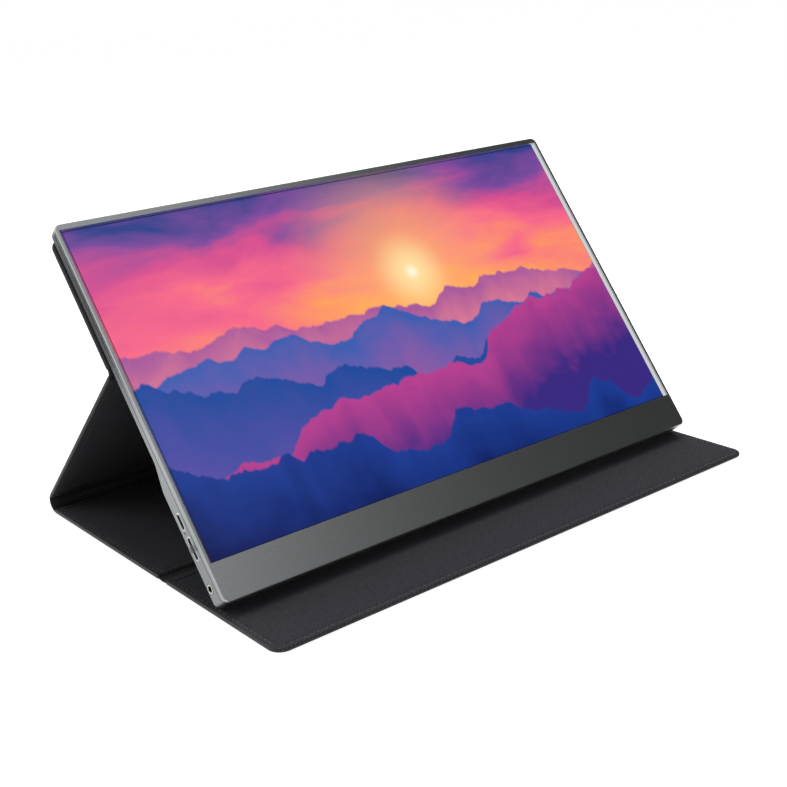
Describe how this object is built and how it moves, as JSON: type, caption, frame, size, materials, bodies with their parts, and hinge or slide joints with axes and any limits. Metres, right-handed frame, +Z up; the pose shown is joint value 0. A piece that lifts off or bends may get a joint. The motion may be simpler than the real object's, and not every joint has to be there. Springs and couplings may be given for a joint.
{
  "type": "portable monitor",
  "caption": "Slim portable monitor with a deep chin and side ports, propped at a tilt in a folding leather folio cover whose back panel it grips by magnets.",
  "frame": {"origin": "middle of the stand's footprint on the table", "axes": "+X across the screen to its right as the user sees it, +Y away from the user, +Z up"},
  "size_m": [0.3552, 0.2496, 0.1832],
  "materials": {
    "frame_metal": "bead blasted, grey anodised",
    "case_metal": "bead blasted, grey anodised",
    "screw_steel": "blackened",
    "screen_glass": "anti-glare display glass",
    "clear_acrylic": "clear moulded acrylic",
    "board_laminate": "solder mask",
    "pan_metal": "mill",
    "ribbon_film": "polyimide film",
    "socket_steel": "drawn, nickel plated",
    "socket_plastic": "moulded",
    "control_plastic": "moulded, satin",
    "keeper_steel": "plated",
    "cover_skin": "charcoal cross grain",
    "cover_lining": "fine woven grain",
    "stiff_board": "pressed fibreboard"
  },
  "bodies": {
    "base": {"floor_skin": "cover_skin", "floor_board": "stiff_board", "floor_lining": "cover_lining", "crease_fold": "cover_skin", "flap_skin": "cover_skin", "flap_board": "stiff_board", "flap_lining": "cover_lining", "rear_fold": "cover_skin"},
    "strut": {"strut_skin": "cover_skin", "strut_board": "stiff_board", "strut_lining": "cover_lining", "upper_fold": "cover_skin"},
    "back_panel": {"back_skin": "cover_skin", "back_board": "stiff_board", "back_lining": "cover_lining", "cover_magnets": "keeper_steel"},
    "jog_carrier": {"jog_carrier": "socket_plastic"},
    "jog_wheel": {"jog_wheel": "control_plastic"},
    "monitor": {"front_frame": "frame_metal", "rear_cover": "case_metal", "case_screws": "screw_steel", "lcd_panel": "screen_glass", "light_guide": "clear_acrylic", "led_bar": "board_laminate", "panel_tray": "pan_metal", "panel_driver_board": "board_laminate", "side_board": "board_laminate", "main_board": "board_laminate", "link_ribbon": "ribbon_film", "display_ribbon": "ribbon_film", "usb_c_port_left": "socket_steel", "usb_c_port_right": "socket_steel", "usb_c_tongues": "socket_plastic", "mini_hdmi_port": "socket_steel", "audio_jack": "socket_plastic", "indicator_light": "clear_acrylic", "jog_switch": "socket_plastic", "speaker_left": "socket_plastic", "speaker_right": "socket_plastic", "keeper_plates": "keeper_steel"}
  },
  "joints": [
    {"name": "stand_tilt", "type": "hinge", "parent": "base", "child": "strut", "pos_m": [0, 0.11857, 0.0062], "axis": [1, 0, 0], "range_deg": [-15, 13], "deforming": ["rear_fold"]},
    {"name": "back_fold", "type": "hinge", "parent": "strut", "child": "back_panel", "pos_m": [0, 0.01685, 0.11121], "axis": [1, 0, 0], "range_deg": [-28.64, 33.04], "deforming": ["upper_fold"]},
    {"name": "monitor_release", "type": "slide", "parent": "back_panel", "child": "monitor", "axis": [0, -0.788, 0.6157], "range_m": [0, 0.06]},
    {"name": "jog_press", "type": "slide", "parent": "monitor", "child": "jog_carrier", "axis": [1, 0, 0], "range_m": [0, 0.0004], "stiffness_N_per_m": 1500},
    {"name": "jog_rock", "type": "hinge", "parent": "jog_carrier", "child": "jog_wheel", "pos_m": [-0.169, -0.05144, 0.03182], "axis": [0, -0.788, 0.6157], "range_deg": [-12, 12], "stiffness_Nm_per_rad": 0.02}
  ],
  "couplings": [
    {"joint": "back_fold", "follows": "stand_tilt", "ratio": -2.2021}
  ]
}
